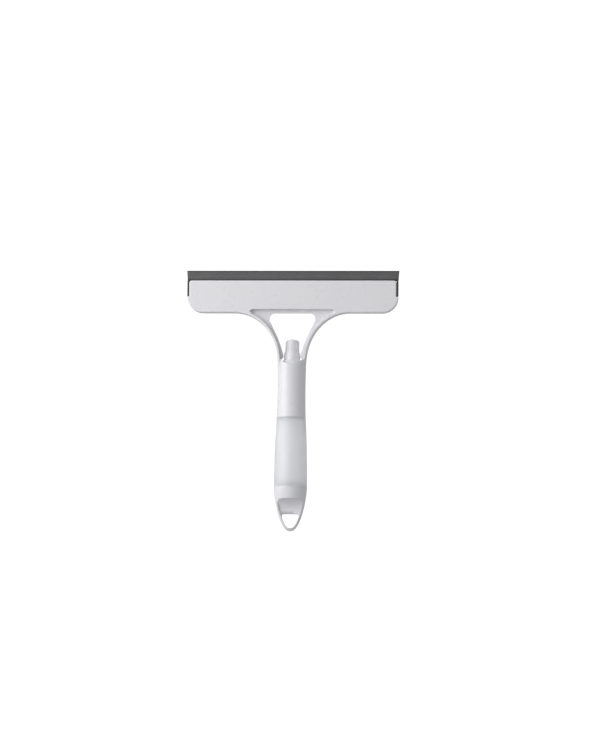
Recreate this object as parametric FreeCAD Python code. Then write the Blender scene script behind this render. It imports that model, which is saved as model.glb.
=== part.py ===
import FreeCAD, Part

import math
import os

# Spray squeegee for windows: a wide head with a rubber blade, carried by two arms on a round handle.
# Between the arms stands a spray nozzle, fed by a finger pump in the handle and a screw-on bottle below.
# Millimetres. X runs along the blade, -Y is the front face of the head, +Z runs up the handle to the blade.
# Heights below are counted from the lowest point of the hanging loop; save() moves the parts so that the
# origin lies on the handle's axis in the middle of the grip.

Vec = FreeCAD.Vector
X_AXIS, Y_AXIS, Z_AXIS = Vec(1, 0, 0), Vec(0, 1, 0), Vec(0, 0, 1)

# Driving dimensions
GRIP_HEIGHT = 89.0
HEAD_WIDTH = 240.0
HEAD_DEPTH = 12.0
HEAD_BOTTOM = 247.2
PANEL_TOP = 283.8
BLADE_TOP = 295.7
CORNER_R = 18.2
PANEL_CORNER_R = 3.0
WALL = 2.4
STRIP = 2.3
ARM_REACH = 50.0
ARM_RISE = 57.2
ARM_FOOT = 190.0
ARM_FLANGE = 2.8
WEB_HALF = 1.1
SHELL_BOTTOM = 128.0
SHELL_WALL = 2.1
MOUTH_R = 16.2
RIM_Z = 186.0
PARTING_Y = 3.0
COVER_TOP = 187.2
BASE_TOP = 50.3
BASE_R = 18.8
BOTTLE_TOP_R = 16.5
BOTTLE_WALL = 1.5
NECK_R = 10.9
THREAD_PITCH = 4.0
PUMP_Z = 163.0
BORE_R = 5.45
VALVE_SEAT = 179.0
FLANGE_FOOT = 143.4
PIVOT_Y = 15.0
PIVOT_Z = 180.0
PIN_R = 1.5
NOZZLE_TILT = 15.0
NOZZLE_FOOT = 190.0
FIT = 0.05

# Places worked out from them
HALF_WIDTH = HEAD_WIDTH / 2
FRONT_Y = -HEAD_DEPTH / 2
REAR_Y = HEAD_DEPTH / 2
STRIP_FOOT = HEAD_BOTTOM + CORNER_R
SIDE_X = HALF_WIDTH - STRIP
ARM_X = ARM_REACH + MOUTH_R - 0.2
TRAY_FLOOR = HEAD_BOTTOM + 6.6
POCKET_TOP = HEAD_BOTTOM + 3.7
CLAMP_FOOT = PANEL_TOP - 6.8
HEAD_SCREWS = [(x, 264.0) for x in (-95.0, -32.0, 32.0, 95.0)]
COVER_SCREWS = [(-10.6, 151.0), (10.6, 151.0), (-11.0, 181.5), (11.0, 181.5)]
NOSE_Y = PIVOT_Y - 3.5
NOSE_R = 1.8
PISTON_END = NOSE_Y - NOSE_R - 0.1
SEAL_FRONT, SEAL_BACK = -3.2, -1.4


def front(x, z):
    """A point of an outline drawn in the front view."""
    return Vec(x, 0, z)


def side(y, z):
    """A point of an outline drawn in the side view."""
    return Vec(0, y, z)


def line(a, b):
    return Part.LineSegment(a, b).toShape()


def arc(a, middle, b):
    return Part.Arc(a, middle, b).toShape()


def lines(*points):
    return [line(a, b) for a, b in zip(points, points[1:])]


def slab(edges, y0, y1):
    """A front-view outline carried from y0 to y1."""
    face = Part.Face(Part.Wire(edges))
    return face.translated(Vec(0, y0, 0)).extrude(Vec(0, y1 - y0, 0))


def bar(edges, x0, x1):
    """A side-view outline carried from x0 to x1."""
    face = Part.Face(Part.Wire(edges))
    return face.translated(Vec(x0, 0, 0)).extrude(Vec(x1 - x0, 0, 0))


def turned(edges):
    """A front-view outline on the +X side of the handle's axis, turned round that axis."""
    return Part.Face(Part.Wire(edges)).revolve(Vec(0, 0, 0), Z_AXIS, 360)


def disc(radius, z0, z1, x=0.0, y=0.0):
    return Part.makeCylinder(radius, z1 - z0, Vec(x, y, z0), Z_AXIS)


def ring(outer, inner, z0, z1):
    return disc(outer, z0, z1).cut(disc(inner, z0 - 1, z1 + 1))


def rod(radius, y0, y1, x, z):
    """A cylinder along Y."""
    return Part.makeCylinder(radius, y1 - y0, Vec(x, y0, z), Y_AXIS)


def box(x0, x1, y0, y1, z0, z1):
    return Part.makeBox(x1 - x0, y1 - y0, z1 - z0, Vec(x0, y0, z0))


def both(shape):
    """The shape and its mirror image on the other side, as one solid."""
    return shape.fuse(shape.mirror(Vec(0, 0, 0), X_AXIS))


def joined(first, *others):
    return first.multiFuse(list(others)).removeSplitter()


def rounded(shape, radius, places):
    """Rounds the edges that lie nearest to the given places."""
    edges = [min(shape.Edges, key=lambda e: e.distToShape(Part.Vertex(place))[0]) for place in places]
    return shape.makeFillet(radius, edges)


def tilted(shape):
    """Leans a shape back round the foot of the nozzle."""
    return shape.rotated(front(0, NOZZLE_FOOT), X_AXIS, -NOZZLE_TILT)


def helix_ridge(radius, z0, turns, half_base, half_crest, height):
    """A screw ridge with sloping flanks; a negative height makes it grow inwards from the radius."""
    path = Part.Wire(Part.makeHelix(THREAD_PITCH, THREAD_PITCH * turns, radius).Edges)
    root = radius - math.copysign(0.4, height)
    crest = radius + height
    corners = [front(root, -half_base), front(crest, -half_crest),
               front(crest, half_crest), front(root, half_base)]
    section = Part.Wire(lines(*corners, corners[0]))
    return path.makePipeShell([section], True, True).translated(Vec(0, 0, z0))


def save(node, shape):
    """Writes one part, with its solids moved into the frame at the grip."""
    solids = [s.translated(Vec(0, 0, -GRIP_HEIGHT)) for s in shape.Solids]
    whole = solids[0] if len(solids) == 1 else Part.makeCompound(solids)
    whole.exportStep(f"parts/{node}.step")
    valid = all(s.isValid() for s in solids)
    print(f"{node:20s} solids {len(solids)}  volume {whole.Volume / 1000:8.3f} cm3  valid {valid}")


# The head, the arms and the front of the handle: one moulding

def head_tray():
    """The front panel with its rim, open to the back for the plate and to the top for the blade."""
    foot_l, foot_r = front(-HALF_WIDTH, STRIP_FOOT), front(HALF_WIDTH, STRIP_FOOT)
    inset = CORNER_R * (1 - math.sqrt(0.5))
    top_r = PANEL_CORNER_R
    bend = top_r * (1 - math.sqrt(0.5))
    edges = [arc(foot_l, front(-HALF_WIDTH + inset, HEAD_BOTTOM + inset),
                 front(-HALF_WIDTH + CORNER_R, HEAD_BOTTOM)),
             line(front(-HALF_WIDTH + CORNER_R, HEAD_BOTTOM), front(HALF_WIDTH - CORNER_R, HEAD_BOTTOM)),
             arc(front(HALF_WIDTH - CORNER_R, HEAD_BOTTOM),
                 front(HALF_WIDTH - inset, HEAD_BOTTOM + inset), foot_r)]
    edges += lines(foot_r, front(SIDE_X, STRIP_FOOT), front(SIDE_X, PANEL_TOP - top_r))
    edges.append(arc(front(SIDE_X, PANEL_TOP - top_r), front(SIDE_X - bend, PANEL_TOP - bend),
                     front(SIDE_X - top_r, PANEL_TOP)))
    edges.append(line(front(SIDE_X - top_r, PANEL_TOP), front(-SIDE_X + top_r, PANEL_TOP)))
    edges.append(arc(front(-SIDE_X + top_r, PANEL_TOP), front(-SIDE_X + bend, PANEL_TOP - bend),
                     front(-SIDE_X, PANEL_TOP - top_r)))
    edges += lines(front(-SIDE_X, PANEL_TOP - top_r), front(-SIDE_X, STRIP_FOOT), foot_l)
    return slab(edges, FRONT_Y, REAR_Y)


def tray_opening(clearance, top, y0, y1):
    """The rectangle inside the rim with rounded lower corners, shrunk by a clearance."""
    x = SIDE_X - WALL - clearance
    z = TRAY_FLOOR + clearance
    r = 12.0
    inset = r * (1 - math.sqrt(0.5))
    edges = [arc(front(-x, z + r), front(-x + inset, z + inset), front(-x + r, z)),
             line(front(-x + r, z), front(x - r, z)),
             arc(front(x - r, z), front(x - inset, z + inset), front(x, z + r))]
    edges += lines(front(x, z + r), front(x, top), front(-x, top), front(-x, z + r))
    return slab(edges, y0, y1)


def arm_ellipse(offset, x_end):
    """The arm's outer contour on the right, from the handle to x_end, moved inwards by an offset."""
    reach, rise = ARM_REACH + offset, ARM_RISE + offset
    centre = front(ARM_X, ARM_FOOT)
    curve = Part.Ellipse(front(ARM_X, ARM_FOOT + rise), front(ARM_X - reach, ARM_FOOT), centre)
    angle = math.asin((ARM_X - x_end) / reach)
    return Part.ArcOfEllipse(curve, angle, math.pi / 2).toShape()


def arm_envelope():
    """What the arms may fill: the front, side and top views' outlines cut with each other."""
    low, high, head = 184.0, HEAD_BOTTOM + 5.0, front(ARM_X, HEAD_BOTTOM)
    foot = front(MOUTH_R - 0.2, ARM_FOOT)
    outline = lines(front(0, low), front(MOUTH_R - 0.2, low), foot)
    outline.append(arm_ellipse(0.0, ARM_X))
    outline += lines(head, front(ARM_X, high), front(0, high), front(0, low))
    views = both(slab(outline, -MOUTH_R, MOUTH_R))

    waist_z, waist_y = 198.0, 9.6
    depth = [arc(side(-MOUTH_R, 187), side(-11.6, 190.8), side(-waist_y, waist_z)),
             arc(side(-waist_y, waist_z), side(-7.9, 222), side(FRONT_Y, HEAD_BOTTOM))]
    depth += lines(side(FRONT_Y, HEAD_BOTTOM), side(FRONT_Y, high), side(REAR_Y, high),
                   side(REAR_Y, HEAD_BOTTOM))
    depth += [arc(side(REAR_Y, HEAD_BOTTOM), side(7.9, 222), side(waist_y, waist_z)),
              arc(side(waist_y, waist_z), side(11.6, 190.8), side(MOUTH_R, 187))]
    depth += lines(side(MOUTH_R, 187), side(MOUTH_R, low), side(-MOUTH_R, low), side(-MOUTH_R, 187))
    views = views.common(bar(depth, -ARM_X - 1, ARM_X + 1))

    rounding = lines(front(0, low), front(MOUTH_R, low), front(MOUTH_R, 186))
    rounding.append(arc(front(MOUTH_R, 186), front(19.5, 199), front(30, 214)))
    rounding += lines(front(30, 214), front(90, high + 1), front(0, high + 1), front(0, low))
    return views.common(turned(rounding))


def arm_hollow():
    """The space between the two arm flanges and under the panel's lower edge."""
    tip_x, top = 46.5, POCKET_TOP
    reach, rise = ARM_REACH + ARM_FLANGE, ARM_RISE + ARM_FLANGE
    tip_z = ARM_FOOT + rise * math.sqrt(1 - ((ARM_X - tip_x) / reach) ** 2)
    foot = front(ARM_X - reach, ARM_FOOT)
    edges = lines(front(0, 170), front(ARM_X - reach, 170), foot)
    edges.append(arm_ellipse(ARM_FLANGE, tip_x))
    edges.append(arc(front(tip_x, tip_z), front(tip_x + 1.1, top - 1.6), front(tip_x - 1.5, top)))
    edges += lines(front(tip_x - 1.5, top), front(0, top), front(0, 170))
    return both(slab(edges, -MOUTH_R - 2, MOUTH_R + 2))


def arm_web():
    """The thin plate set back between the flanges, with the window for the nozzle in it."""
    top, window_top, outer_end = HEAD_BOTTOM + 6.0, HEAD_BOTTOM - 0.5, 47.0
    reach, rise = ARM_REACH + ARM_FLANGE / 2, ARM_RISE + ARM_FLANGE / 2
    outer_z = ARM_FOOT + rise * math.sqrt(1 - ((ARM_X - outer_end) / reach) ** 2)
    foot = front(ARM_X - reach, ARM_FOOT)
    edges = [arm_ellipse(ARM_FLANGE / 2, outer_end)]
    edges += lines(front(outer_end, outer_z), front(outer_end, top), front(0, top),
                   front(0, window_top), front(19.5, window_top))
    edges.append(arc(front(19.5, window_top), front(24.8, 244.2), front(25.2, 237.2)))
    edges.append(line(front(25.2, 237.2), front(18.6, 223.9)))
    edges.append(arc(front(18.6, 223.9), front(13.9, 212.6), front(9.3, 197.0)))
    edges += lines(front(9.3, 197.0), front(13.2, 193.0), foot)
    return both(slab(edges, -WEB_HALF, WEB_HALF))


def handle_wall():
    """The upper handle as a tube with a slight waist."""
    high = 202.0
    foot, waist, rim = front(16.35, SHELL_BOTTOM), front(15.8, 164), front(MOUTH_R, RIM_Z)
    edges = [arc(foot, waist, rim)]
    edges += lines(rim, front(MOUTH_R, high), front(MOUTH_R - SHELL_WALL, high),
                   front(MOUTH_R - SHELL_WALL, SHELL_BOTTOM), foot)
    return turned(edges)


def mouth_cut():
    """The U-shaped dip of the handle's rim, seen from the front; the arms rise at its sides."""
    half, low, high = 14.4, 187.6, 196.2
    edges = [arc(front(-half, high), front(0, low), front(half, high))]
    edges += lines(front(half, high), front(40, high), front(40, 230), front(-40, 230), front(-40, high),
                   front(-half, high))
    return slab(edges, -MOUTH_R - 3, MOUTH_R + 3)


def outer_rim_places():
    """A place on each front edge of the right half of the panel's outline."""
    bend = PANEL_CORNER_R * (1 - math.sqrt(0.5))
    inset = CORNER_R * (1 - math.sqrt(0.5))
    return [Vec(5, FRONT_Y, PANEL_TOP), Vec(SIDE_X - bend, FRONT_Y, PANEL_TOP - bend),
            Vec(SIDE_X, FRONT_Y, STRIP_FOOT + 8), Vec(HALF_WIDTH - STRIP / 2, FRONT_Y, STRIP_FOOT),
            Vec(HALF_WIDTH - inset, FRONT_Y, HEAD_BOTTOM + inset), Vec(ARM_X + 20, FRONT_Y, HEAD_BOTTOM)]


def cover_screw_pillars(y0, y1, radius):
    return [rod(radius, y0, y1, x, z) for x, z in COVER_SCREWS]


def yoke_frame():
    hollow = tray_opening(0.0, PANEL_TOP + 5, FRONT_Y + WALL, REAR_Y + 1)
    ledge = box(-SIDE_X, SIDE_X, FRONT_Y + 1.8, -2.4, CLAMP_FOOT, PANEL_TOP).common(head_tray())
    tray = head_tray().cut(hollow).cut(arm_hollow()).fuse(ledge)
    bosses = [rod(3.4, FRONT_Y + 1, 3.9, x, z) for x, z in HEAD_SCREWS]

    cover_space = box(-20, 20, PARTING_Y, 20, 180, COVER_TOP + 0.2)
    flanges = arm_envelope().cut(arm_hollow()).cut(hollow).cut(cover_space)
    tube = handle_wall().common(box(-20, 20, -20, PARTING_Y, SHELL_BOTTOM, 210)).cut(mouth_cut())
    inside = disc(MOUTH_R - 0.5, SHELL_BOTTOM, RIM_Z)
    ledge_ring = ring(MOUTH_R - 1, 12.4, 184.2, 185.8)
    supports = [p.common(inside) for p in cover_screw_pillars(-MOUTH_R, PARTING_Y, 2.6)]
    supports.append(box(-3, 3, -15, -12.2, PUMP_Z - 3, PUMP_Z + 3).common(inside))
    supports.append(ledge_ring.common(box(-20, 20, -20, -4, 180, 190)))

    half = joined(tray, flanges, tube, arm_web()).common(box(0, 200, -50, 50, 100, 320))
    half = rounded(half, 1.2, outer_rim_places() + [Vec(40, -6.7, 238.9)])
    half = rounded(half, 0.6, [Vec(5, FRONT_Y, POCKET_TOP), Vec(46.6, FRONT_Y, POCKET_TOP - 1),
                               Vec(47.1, FRONT_Y, HEAD_BOTTOM - 0.7)])
    half = rounded(half, 1.0, [Vec(40, 6.7, 238.9)])
    whole = joined(half, half.mirror(Vec(0, 0, 0), X_AXIS), *bosses, *supports)
    for x, z in HEAD_SCREWS:
        whole = whole.cut(rod(1.45, -2.6, 7, x, z))
    for x, z in COVER_SCREWS:
        whole = whole.cut(rod(1.45, -5, PARTING_Y + 1, x, z))
    return whole


def head_back_plate():
    plate = tray_opening(0.25, PANEL_TOP, REAR_Y - 2.0, REAR_Y)
    x = SIDE_X - WALL - 0.25
    clamp = box(-x, x, 2.4, REAR_Y - 1.9, CLAMP_FOOT, PANEL_TOP)
    back_edges = [e for e in plate.Edges if e.BoundBox.YMin > REAR_Y - 0.01 and e.BoundBox.YLength < 0.01]
    plate = joined(plate.makeFillet(0.8, back_edges), clamp)
    for x, z in HEAD_SCREWS:
        plate = plate.cut(rod(1.7, 0, 8, x, z)).cut(rod(3.1, REAR_Y - 1.2, 8, x, z))
    return plate


def wiper_blade():
    """The rubber: a bead under the clamp ledges, a tapering lip and a leg down each side of the head."""
    lip = lines(side(-2.3, 274), side(-2.3, 287.2), side(-1.5, 288.0), side(-0.55, BLADE_TOP),
                side(0.55, BLADE_TOP), side(1.5, 288.0), side(2.3, 287.2), side(2.3, 274), side(-2.3, 274))
    inner_x = SIDE_X - WALL - 0.1
    root = bar(lip, -inner_x, inner_x)
    bead = Part.makeCylinder(3.0, 2 * inner_x, Vec(-inner_x, 0, 273.8), X_AXIS)
    flare = 1.0
    ends = lines(front(-HALF_WIDTH, PANEL_TOP + 0.05), front(-HALF_WIDTH - flare, BLADE_TOP),
                 front(HALF_WIDTH + flare, BLADE_TOP), front(HALF_WIDTH, PANEL_TOP + 0.05),
                 front(-HALF_WIDTH, PANEL_TOP + 0.05))
    top = bar(lip, -HALF_WIDTH - 5, HALF_WIDTH + 5).common(slab(ends, -4, 4))
    leg = box(SIDE_X + 0.05, HALF_WIDTH, -5.2, 5.2, STRIP_FOOT + 0.1, PANEL_TOP + 0.6)
    return joined(root, bead, top, leg, leg.mirror(Vec(0, 0, 0), X_AXIS))


def screws_from_behind(places, head_y, head_r, length):
    """Self-tapping screws pointing forwards, each a solid of its own, with a cross slot in the head."""
    solids = []
    for x, z in places:
        head_back = head_y + 1.1
        screw = rod(1.4, head_y - length, head_y + 0.2, x, z).fuse(rod(head_r, head_y, head_back, x, z))
        screw = screw.cut(box(x - 1.4, x + 1.4, head_back - 0.7, head_back + 1, z - 0.3, z + 0.3))
        screw = screw.cut(box(x - 0.3, x + 0.3, head_back - 0.7, head_back + 1, z - 1.4, z + 1.4))
        solids.append(screw.removeSplitter())
    return Part.makeCompound(solids)


# The back of the handle and the trigger

def trigger_cheeks():
    outline = lines(side(8, 166), side(13, 168.5), side(19.2, 176), side(19.2, 183), side(15.5, COVER_TOP),
                    side(8, COVER_TOP), side(8, 166))
    cheeks = bar(outline, -8.4, 8.4)
    outside = [e for e in cheeks.Edges if e.BoundBox.XLength < 0.01 and e.BoundBox.YMax > 13]
    return cheeks.makeFillet(1.5, outside)


def rear_cover():
    """The back of the upper handle, with the hood and cheeks that carry the trigger."""
    tube = handle_wall().common(box(-20, 20, PARTING_Y + 0.1, 20, SHELL_BOTTOM, COVER_TOP))
    inside = disc(MOUTH_R - 0.5, SHELL_BOTTOM, RIM_Z)
    pillars = [p.common(inside) for p in cover_screw_pillars(PARTING_Y + 0.1, 14, 2.9)]
    cover = joined(tube, trigger_cheeks(), *pillars)
    slot = lines(side(2, 163), side(20, 163), side(20, 174), side(24, 184.6), side(2, 184.6), side(2, 163))
    cover = cover.cut(bar(slot, -6.4, 6.4))
    cover = cover.cut(Part.makeCylinder(PIN_R + FIT, 20, Vec(-10, PIVOT_Y, PIVOT_Z), X_AXIS))
    cover = cover.cut(disc(13.3, 185.7, 190))
    for x, z in COVER_SCREWS:
        cover = cover.cut(rod(1.7, 0, 20, x, z)).cut(rod(2.7, 8.6, 20, x, z))
    return cover


def trigger_pin():
    pin = Part.makeCylinder(PIN_R, 16.4, Vec(-8.2, PIVOT_Y, PIVOT_Z), X_AXIS)
    return pin.makeChamfer(0.25, [e for e in pin.Edges if e.Curve.TypeId == "Part::GeomCircle"])


def trigger():
    """A curved finger lever outside the cover, a boss on the pin and a short arm that pushes the piston."""
    lever = [arc(side(16.6, 183.0), side(22.4, 179.8), side(25.2, 172)),
             arc(side(25.2, 172), side(28.6, 156), side(33.4, 139.5)),
             arc(side(33.4, 139.5), side(31.9, 137.6), side(29.8, 139.2)),
             arc(side(29.8, 139.2), side(25.4, 156), side(21.6, 170)),
             line(side(21.6, 170), side(17.5, 176.8)),
             line(side(17.5, 176.8), side(16.6, 183.0))]
    paddle = bar(lever, -7.4, 7.4).common(box(-8, 8, 15, 40, 130, 170.5))
    long_edges = [e for e in paddle.Edges if e.BoundBox.XLength < 0.01 and e.BoundBox.ZLength > 10]
    lever = paddle.makeFillet(1.2, long_edges).fuse(bar(lever, -6.1, 6.1))
    boss = Part.makeCylinder(3.4, 12.2, Vec(-6.1, PIVOT_Y, PIVOT_Z), X_AXIS)
    arm = bar(lines(side(17.2, 177.5), side(NOSE_Y + NOSE_R, PUMP_Z), side(NOSE_Y - NOSE_R, PUMP_Z),
                    side(12.4, 178.5), side(17.2, 177.5)), -3, 3)
    nose = Part.makeCylinder(NOSE_R, 6, Vec(-3, NOSE_Y, PUMP_Z), X_AXIS)
    body = joined(lever, boss, arm, nose)
    return body.cut(Part.makeCylinder(PIN_R + FIT, 20, Vec(-10, PIVOT_Y, PIVOT_Z), X_AXIS))


# The pump

def pump_body():
    """Barrel along Y, inlet post and flange below, outlet post above, with the drilled channels."""
    barrel_r, post_r, flange_r = 7.2, 6.0, 12.0
    closed_end, open_end = -12.0, 6.0
    flange_top, post_top = FLANGE_FOOT + 2.6, 189.0
    inlet_z, outlet_z = 152.3, 173.0
    drill_r, drill_y = 0.9, -9.3
    plug_r, plug_end, ball_room_r, ball_room_top = 3.5, 149.0, 2.5, 153.2
    barrel = rod(barrel_r, closed_end, open_end, 0, PUMP_Z)
    flange = disc(flange_r, FLANGE_FOOT, flange_top)
    lower = disc(post_r, flange_top - 0.5, PUMP_Z - 5.5)
    upper = disc(post_r, PUMP_Z + 5.5, post_top)
    inlet_block = box(-3, 3, closed_end + 0.7, 2, inlet_z - 1.8, PUMP_Z - 5)
    outlet_block = box(-3, 3, closed_end + 0.7, 2, PUMP_Z + 5, outlet_z + 3)
    body = joined(barrel, flange, lower, upper, inlet_block, outlet_block)
    channels = [rod(BORE_R, closed_end + 1.5, open_end + 1, 0, PUMP_Z),
                disc(plug_r, FLANGE_FOOT - 0.4, plug_end), disc(ball_room_r, plug_end - 0.1, ball_room_top),
                rod(drill_r, drill_y, 0, 0, inlet_z), disc(drill_r, inlet_z - drill_r, PUMP_Z, 0, drill_y),
                disc(drill_r, PUMP_Z, outlet_z + 0.5, 0, drill_y), rod(drill_r, drill_y, 0, 0, outlet_z),
                disc(1.1, outlet_z - 1.5, VALVE_SEAT), disc(2.7, VALVE_SEAT, post_top + 1)]
    for channel in channels:
        body = body.cut(channel)
    return body


def pump_piston():
    """A hollow plunger: skirt in the barrel, round stem out to the trigger's nose."""
    skirt_end, stem_start, stem_r, hollow_r, groove_r = -4.0, 1.5, 3.6, 3.3, 4.6
    skirt = rod(BORE_R - 0.07, skirt_end, stem_start + 0.5, 0, PUMP_Z)
    stem = rod(stem_r, stem_start, PISTON_END, 0, PUMP_Z)
    piston = joined(skirt, stem).cut(rod(hollow_r, skirt_end - 1, stem_start, 0, PUMP_Z))
    groove = rod(BORE_R + 1, SEAL_FRONT, SEAL_BACK, 0, PUMP_Z).cut(rod(groove_r, skirt_end, 0, 0, PUMP_Z))
    return piston.cut(groove)


def piston_seal():
    body = rod(BORE_R - 0.03, SEAL_FRONT + FIT, SEAL_BACK - FIT, 0, PUMP_Z)
    return body.cut(rod(4.65, SEAL_FRONT, 0, 0, PUMP_Z))


def return_spring():
    """Turns of wire between the barrel's end wall and the plunger."""
    wire_r, mean_r, length, turns = 0.35, 2.7, 11.0, 6
    path = Part.Wire(Part.makeHelix(length / turns, length, mean_r).Edges)
    section = Part.Wire(Part.makeCircle(wire_r, Vec(mean_r, 0, 0), Y_AXIS))
    coil = path.makePipeShell([section], True, True)
    coil = coil.rotated(Vec(0, 0, 0), X_AXIS, -90)
    return coil.translated(Vec(0, -10.1, PUMP_Z))


def inlet_seat():
    """The plug that holds the dip tube and gives the ball its seat."""
    plug = joined(disc(3.45, 139, 148.85), disc(5.0, 142.05, 143.35))
    plug = plug.cut(disc(2.05, 138, 146.5)).cut(disc(1.2, 146, 150))
    cone = Part.makeCone(1.2, 1.6, 0.5, front(0, 148.35), Z_AXIS)
    return plug.cut(cone)


def inlet_ball():
    return Part.makeSphere(2.0, front(0, 150.12))


def outlet_valve():
    """A soft poppet over the outlet hole, with a guide stem below."""
    foot, shoulder = VALVE_SEAT + FIT, VALVE_SEAT + 1.2
    return joined(disc(2.2, foot, shoulder), disc(1.4, shoulder - 0.1, shoulder + 2.3),
                  disc(0.7, foot - 3.05, foot + 0.15))


# The nozzle between the arms

def nozzle_neck():
    """A dome that closes the handle's mouth and the leaning neck that rises from it."""
    dome = [line(front(0, 186), front(13.0, 186)), line(front(13.0, 186), front(13.0, 187.6)),
            arc(front(13.0, 187.6), front(11.4, 190.6), front(9.4, 193.6)),
            line(front(9.4, 193.6), front(0, 193.6)), line(front(0, 193.6), front(0, 186))]
    neck = tilted(disc(8.95, NOZZLE_FOOT, NOZZLE_FOOT + 12))
    stub = tilted(disc(6.6, NOZZLE_FOOT + 11, NOZZLE_FOOT + 23.6))
    body = joined(turned(dome), neck, stub)
    body = body.cut(disc(6.05, 185, 189.1)).cut(disc(2.6, 188, 191))
    body = body.cut(tilted(disc(1.6, NOZZLE_FOOT, NOZZLE_FOOT + 25)))
    body = body.cut(tilted(disc(3.2, NOZZLE_FOOT + 19.6, NOZZLE_FOOT + 25)))
    groove = tilted(ring(8.0, 5.9, NOZZLE_FOOT + 15.3, NOZZLE_FOOT + 16.9))
    return body.cut(groove)


def spinner():
    """The swirl insert: a plug with three slots that turn the jet into a cone."""
    plug = disc(3.1, NOZZLE_FOOT + 19.7, NOZZLE_FOOT + 23.5)
    plug = plug.cut(disc(1.0, NOZZLE_FOOT + 22.3, NOZZLE_FOOT + 24))
    for k in range(3):
        slot = box(0.5, 1.1, 0, 4, NOZZLE_FOOT + 22.8, NOZZLE_FOOT + 24)
        plug = plug.cut(slot.rotated(Vec(0, 0, 0), Z_AXIS, 120 * k))
        groove = box(2.5, 4, -0.5, 0.5, NOZZLE_FOOT + 19, NOZZLE_FOOT + 24)
        plug = plug.cut(groove.rotated(Vec(0, 0, 0), Z_AXIS, 120 * k + 60))
    return tilted(plug)


def nozzle_cap():
    """The turning cap: a slightly tapering cup with a rounded top edge and the spray hole."""
    low, high = NOZZLE_FOOT + 12.2, NOZZLE_FOOT + 26.6
    edges = [line(front(0, low), front(7.95, low)), line(front(7.95, low), front(7.75, high - 1.6)),
             arc(front(7.75, high - 1.6), front(7.28, high - 0.47), front(6.15, high)),
             line(front(6.15, high), front(0, high)), line(front(0, high), front(0, low))]
    cup = turned(edges).cut(disc(6.65, low - 1, high - 2.6)).cut(disc(0.45, low, high + 1))
    dish = Part.makeSphere(6.0, front(0, high + 5.4))
    return tilted(cup.cut(dish))


def nozzle_oring():
    z = NOZZLE_FOOT + 16.1
    return tilted(Part.makeTorus(6.27, 0.34, front(0, z), Z_AXIS))


# The bottle and what feeds the pump

def bottle_collar():
    """The threaded ring that hangs on the pump's flange and takes the bottle."""
    collar = joined(ring(13.9, 12.2, 129.5, 147.5), ring(13.9, 9.6, 146.05, 147.5))
    ridge = helix_ridge(12.2, 131.2, 1.5, 0.7, 0.4, -1.05)
    return collar.fuse(ridge)


def bottle():
    """Blown bottle: waisted wall, flat shoulder, threaded neck and a stepped foot for the base cap."""
    w = BOTTLE_WALL
    top = SHELL_BOTTOM - 0.3
    foot_r, foot_z, middle_r, middle_z, neck_top = 16.9, 42.0, 18.2, 85.5, 142.0
    outer = [line(front(0, foot_z), front(foot_r, foot_z)),
             line(front(foot_r, foot_z), front(foot_r, BASE_TOP + 0.3)),
             line(front(foot_r, BASE_TOP + 0.3), front(BASE_R, BASE_TOP + 0.3)),
             arc(front(BASE_R, BASE_TOP + 0.3), front(middle_r, middle_z), front(BOTTLE_TOP_R, top))]
    outer += lines(front(BOTTLE_TOP_R, top), front(NECK_R, top), front(NECK_R, neck_top),
                   front(0, neck_top), front(0, foot_z))
    inner = [line(front(0, foot_z + w), front(foot_r - w, foot_z + w)),
             line(front(foot_r - w, foot_z + w), front(foot_r - w, BASE_TOP + 3)),
             arc(front(foot_r - w, BASE_TOP + 3), front(middle_r - w, middle_z),
                 front(BOTTLE_TOP_R - w, top - w))]
    inner += lines(front(BOTTLE_TOP_R - w, top - w), front(NECK_R - 2.1, top - w),
                   front(NECK_R - 2.1, neck_top + 1), front(0, neck_top + 1), front(0, foot_z + w))
    body = turned(outer).cut(turned(inner))
    ridge = helix_ridge(NECK_R, 133.2, 1.5, 0.7, 0.4, 1.0)
    return body.fuse(ridge)


def neck_gasket():
    return ring(10.8, 5.25, 142.02, 143.35)


def dip_tube():
    return ring(2.0, 1.25, 50.0, 146.4)


def intake_filter():
    """A short slotted basket pushed onto the dip tube's lower end."""
    basket = disc(3.6, 46.5, 56).cut(disc(2.05, 49.9, 57)).cut(disc(1.4, 47.4, 51))
    for k in range(4):
        basket = basket.cut(box(1, 4, -0.4, 0.4, 47.4, 49.4).rotated(Vec(0, 0, 0), Z_AXIS, 90 * k))
    return basket


def base_radius(z):
    """Half width of the base cap: a rounded end that closes at the bottom of the loop."""
    fall = (BASE_TOP - z) / BASE_TOP
    return BASE_R * (1 - fall ** 1.5) ** 0.47


def base_depth(z):
    """Half depth of the base cap: it flattens faster than it narrows."""
    fall = (BASE_TOP - z) / BASE_TOP
    return BASE_R * (1 - fall ** 1.5) ** 0.8


def base_section(z, shrink=0.0):
    a, b = base_radius(z) - shrink, base_depth(z) - shrink
    centre = front(0, z)
    if a - b < 0.001:
        return Part.Wire(Part.makeCircle(a, centre, Z_AXIS))
    curve = Part.Ellipse(centre + Vec(a, 0, 0), centre + Vec(0, b, 0), centre)
    return Part.Wire(curve.toShape())


def loop_outline(rim, low, high, count):
    """The base cap's front outline, moved in by the rim, as a smooth closed curve."""
    heights = [low + (high - low) * (1 - math.cos(math.pi * k / (2 * count))) for k in range(count + 1)]
    right = [front(max(base_radius(z) - rim, 0.0), z) for z in heights[1:]]
    left = [front(-p.x, p.z) for p in reversed(right)]
    curve = Part.BSplineCurve()
    curve.interpolate(left + [front(0, low)] + right)
    return [curve.toShape(), line(right[-1], left[0])]


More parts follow.
